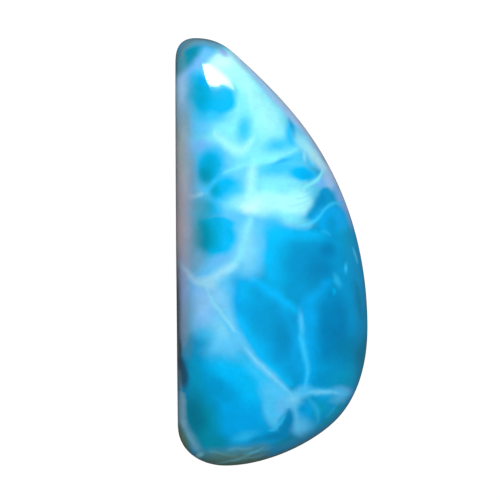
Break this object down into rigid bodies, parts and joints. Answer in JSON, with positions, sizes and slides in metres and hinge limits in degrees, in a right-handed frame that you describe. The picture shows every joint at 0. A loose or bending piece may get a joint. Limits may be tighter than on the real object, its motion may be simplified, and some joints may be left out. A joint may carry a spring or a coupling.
{
  "type": "larimar cabochon",
  "caption": "Freeform larimar gemstone with one straight side, polished to a low dome over a flat back, to be set or strung as jewellery.",
  "frame": {"origin": "on the flat back, in the middle of the outline's box", "axes": "+Z out of the domed face, +Y along the stone towards its narrow tip, +X from the straight side to the curved side"},
  "size_m": [0.018, 0.04, 0.0062],
  "materials": {
    "larimar": "polished"
  },
  "bodies": {
    "root": {"cabochon": "larimar"}
  },
  "joints": []
}
